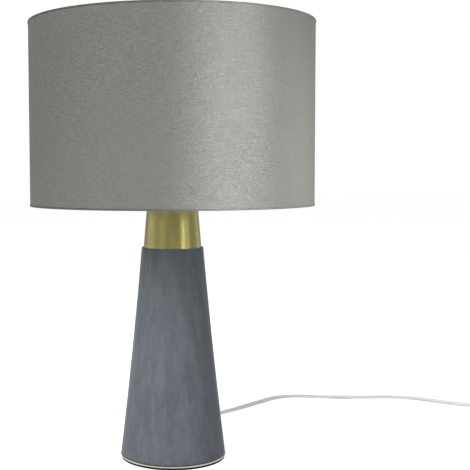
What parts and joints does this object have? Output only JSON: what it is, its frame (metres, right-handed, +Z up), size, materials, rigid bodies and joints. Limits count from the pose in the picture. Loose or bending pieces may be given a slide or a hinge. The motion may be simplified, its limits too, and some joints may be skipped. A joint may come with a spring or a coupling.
{
  "type": "table lamp with shade",
  "caption": "Table lamp with a velvet-covered conical base, brass neck and drum shade on a screw holder, with a flat lead, rocker switch and two-pin plug.",
  "frame": {"origin": "centre of the pad's underside, on the lamp's axis, on the table", "axes": "+Z up along the lamp's axis, -Y towards the front, +Y towards the side that the lead leaves"},
  "size_m": [0.6675, 0.4148, 0.46],
  "materials": {
    "pad_foam": "matte",
    "zinc_steel": "satin",
    "trim_metal": "polished",
    "cast_iron": "rough cast",
    "core_plastic": "moulded",
    "velvet": "short velvet pile",
    "neck_brass": "brushed satin",
    "lead_pvc": "smooth extruded",
    "brown_pvc": "smooth",
    "blue_pvc": "smooth",
    "holder_plastic": "moulded",
    "insert_ceramic": "glazed",
    "contact_brass": "stamped",
    "frame_paint": "powder coat",
    "liner_plastic": "satin",
    "shade_satin": "satin weave",
    "bulb_nickel": "nickel",
    "bulb_plastic": "moulded",
    "bulb_opal": "opal",
    "black_plastic": "moulded",
    "circuit_board": "solder mask",
    "board_white": "solder mask",
    "switch_plastic": "moulded",
    "plug_pvc": "moulded",
    "pin_nickel": "nickel"
  },
  "bodies": {
    "base": {"base_pad": "pad_foam", "bottom_plate": "zinc_steel", "plate_screws": "zinc_steel", "trim_ring": "trim_metal", "weight_disc": "cast_iron", "core_shell": "core_plastic", "velvet_sleeve": "velvet", "neck_cone": "neck_brass", "threaded_rod": "zinc_steel", "rod_nuts": "zinc_steel", "rod_washers": "zinc_steel", "outlet_bush": "lead_pvc", "lead_clamp": "holder_plastic", "clamp_screws": "zinc_steel", "inner_lead": "lead_pvc", "live_core": "brown_pvc", "neutral_core": "blue_pvc", "holder_cap": "holder_plastic", "cap_lock_screw": "zinc_steel", "holder_insert": "insert_ceramic", "terminal_screws": "contact_brass", "centre_contact": "contact_brass", "socket_shell": "contact_brass", "holder_skirt": "holder_plastic", "supply_lead": "lead_pvc", "switch_base": "switch_plastic", "switch_cover": "switch_plastic", "switch_contacts": "contact_brass", "switch_screws": "zinc_steel", "coil_lead": "lead_pvc", "lead_coil": "lead_pvc", "plug_lead": "lead_pvc", "plug_body": "plug_pvc", "plug_pins": "pin_nickel", "plug_sleeves": "black_plastic"},
    "shade": {"fitter_ring": "frame_paint", "back_arm": "frame_paint", "left_arm": "frame_paint", "right_arm": "frame_paint", "bottom_ring": "frame_paint", "top_ring": "frame_paint", "shade_liner": "liner_plastic", "shade_fabric": "shade_satin", "bottom_hem": "shade_satin", "top_hem": "shade_satin"},
    "collar": {"shade_collar": "holder_plastic"},
    "bulb_tip": {"bulb_contact": "bulb_nickel"},
    "bulb": {"bulb_insulator": "black_plastic", "bulb_screw_shell": "bulb_nickel", "bulb_housing": "bulb_plastic", "driver_board": "circuit_board", "led_board": "board_white", "bulb_globe": "bulb_opal"},
    "rocker": {"switch_rocker": "switch_plastic"}
  },
  "joints": [
    {"name": "shade_turn", "type": "hinge", "parent": "base", "child": "shade", "pos_m": [0, 0, 0.32], "axis": [0, 0, 1], "continuous": true},
    {"name": "collar_lift", "type": "slide", "parent": "base", "child": "collar", "axis": [0, 0, 1], "range_m": [0, 0.009]},
    {"name": "bulb_lift", "type": "slide", "parent": "base", "child": "bulb_tip", "axis": [0, 0, 1], "range_m": [0, 0.01089]},
    {"name": "bulb_turn", "type": "hinge", "parent": "bulb_tip", "child": "bulb", "pos_m": [0, 0, 0.33], "axis": [0, 0, 1], "range_deg": [0, 1080]},
    {"name": "rocker_tip", "type": "hinge", "parent": "base", "child": "rocker", "pos_m": [0.433, 0.176, 0.0132], "axis": [0.5, 0.866, 0], "range_deg": [-14, 0]}
  ],
  "couplings": [
    {"joint": "bulb_turn", "follows": "bulb_lift", "rad_per_m": 1731.4}
  ]
}
